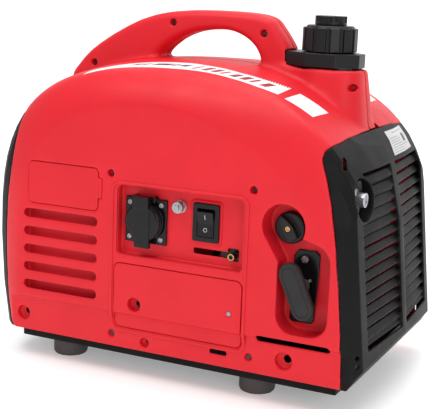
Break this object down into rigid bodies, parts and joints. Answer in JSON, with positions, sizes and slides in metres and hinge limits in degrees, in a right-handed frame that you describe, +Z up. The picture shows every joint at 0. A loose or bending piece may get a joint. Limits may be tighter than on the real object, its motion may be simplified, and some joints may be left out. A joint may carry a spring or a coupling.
{
  "type": "inverter generator",
  "caption": "Portable suitcase-style inverter generator with carrying handle, vented filler cap, recoil starter, recessed control panel with flap socket, and louvred exhaust end.",
  "frame": {"origin": "on the ground midway along the length and the depth of the casing", "axes": "+X towards the exhaust end, -Y towards the control side, +Z up"},
  "size_m": [0.4706, 0.2988, 0.4058],
  "materials": {
    "red_shell": "moulded red plastic, satin",
    "black_cover": "moulded black plastic, fine grain",
    "black_gloss": "gloss black plastic",
    "knob_black": "moulded black plastic",
    "rubber_black": "black rubber",
    "rope": "braided nylon",
    "bright_steel": "zinc-plated steel",
    "chrome_tube": "bright plated tube",
    "brass": "brass",
    "cast_alloy": "cast aluminium",
    "dark_iron": "dark heat-resistant finish",
    "copper_winding": "enamelled copper windings",
    "filter_foam": "filter foam"
  },
  "bodies": {
    "casing": {"front_shell": "red_shell", "rear_shell": "red_shell", "right_end_cover": "black_cover", "left_end_cover": "black_cover", "base_pan": "black_cover", "feet": "rubber_black", "control_panel": "red_shell", "socket_body": "black_gloss", "socket_contacts": "brass", "lid_pin": "bright_steel", "panel_screws": "bright_steel", "earth_terminal": "bright_steel", "switch_bezel": "black_gloss", "fuel_valve_body": "cast_alloy", "starter_plate": "black_gloss", "starter_spring": "bright_steel", "starter_housing": "black_cover", "filler_collar": "knob_black", "fuel_tank": "knob_black", "shell_screws": "bright_steel", "crankcase": "cast_alloy", "crankcase_cover": "cast_alloy", "main_bearings": "bright_steel", "stator": "copper_winding", "fan_shroud": "black_cover", "cylinder_barrel": "cast_alloy", "piston": "cast_alloy", "connecting_rod": "cast_alloy", "cylinder_head": "cast_alloy", "spark_plug": "bright_steel", "ignition_lead": "rubber_black", "ignition_coil": "dark_iron", "carburettor": "cast_alloy", "air_box": "black_cover", "air_filter": "filter_foam", "muffler": "dark_iron", "exhaust_outlet": "chrome_tube", "inverter_module": "cast_alloy", "engine_mounts": "rubber_black", "fuel_hose": "rubber_black"},
    "crank": {"crankshaft": "bright_steel", "flywheel_rotor": "cast_alloy", "rotor_magnets": "dark_iron", "cooling_fan": "black_cover", "starter_cup": "bright_steel"},
    "reel": {"starter_reel": "knob_black", "rope_winding": "rope"},
    "grip": {"starter_grip": "rubber_black", "starter_rope": "rope"},
    "lid": {"socket_lid": "black_gloss"},
    "rocker": {"switch_rocker": "black_gloss"},
    "choke": {"choke_lever": "black_gloss"},
    "valve": {"fuel_valve_knob": "knob_black", "knob_screw": "brass"},
    "cap_ring": {"cap_gasket": "rubber_black"},
    "cap": {"fuel_cap": "knob_black"},
    "vent": {"vent_knob": "knob_black"},
    "service": {"service_cover": "red_shell", "cover_screw": "bright_steel"},
    "storage": {"storage_cover": "red_shell"}
  },
  "joints": [
    {"name": "crank_spin", "type": "hinge", "parent": "casing", "child": "crank", "pos_m": [0.08, -0.01, 0.093], "axis": [1, 0, 0], "continuous": true},
    {"name": "starter_pull", "type": "slide", "parent": "casing", "child": "grip", "axis": [0, -1, 0], "range_m": [0, 0.45], "deforming": ["starter_rope"]},
    {"name": "reel_spin", "type": "hinge", "parent": "casing", "child": "reel", "pos_m": [0.163, -0.01, 0.093], "axis": [1, 0, 0], "range_deg": [0, 580]},
    {"name": "lid_hinge", "type": "hinge", "parent": "casing", "child": "lid", "pos_m": [-0.022, -0.1413, 0.2063], "axis": [-1, 0, 0], "range_deg": [0, 100], "stiffness_Nm_per_rad": 0.02},
    {"name": "rocker_tilt", "type": "hinge", "parent": "casing", "child": "rocker", "pos_m": [0.05025, -0.1318, 0.188], "axis": [-1, 0, 0], "range_deg": [0, 14]},
    {"name": "choke_slide", "type": "slide", "parent": "casing", "child": "choke", "axis": [-1, 0, 0], "range_m": [0, 0.036]},
    {"name": "fuel_valve_turn", "type": "hinge", "parent": "casing", "child": "valve", "pos_m": [0.1415, -0.125, 0.193], "axis": [0, -1, 0], "range_deg": [0, 90]},
    {"name": "cap_lift", "type": "slide", "parent": "casing", "child": "cap_ring", "axis": [0, 0, 1], "range_m": [0, 0.06]},
    {"name": "cap_turn", "type": "hinge", "parent": "cap_ring", "child": "cap", "pos_m": [0.1275, 0, 0.37], "axis": [0, 0, 1], "range_deg": [0, 90]},
    {"name": "vent_turn", "type": "hinge", "parent": "cap", "child": "vent", "pos_m": [0.1275, 0, 0.4], "axis": [0, 0, 1], "range_deg": [0, 150]},
    {"name": "service_cover_off", "type": "slide", "parent": "casing", "child": "service", "axis": [0, -1, 0], "range_m": [0, 0.08]},
    {"name": "storage_cover_off", "type": "slide", "parent": "casing", "child": "storage", "axis": [0, -1, 0], "range_m": [0, 0.08]}
  ],
  "couplings": [
    {"joint": "reel_spin", "follows": "starter_pull", "rad_per_m": 22.222}
  ]
}
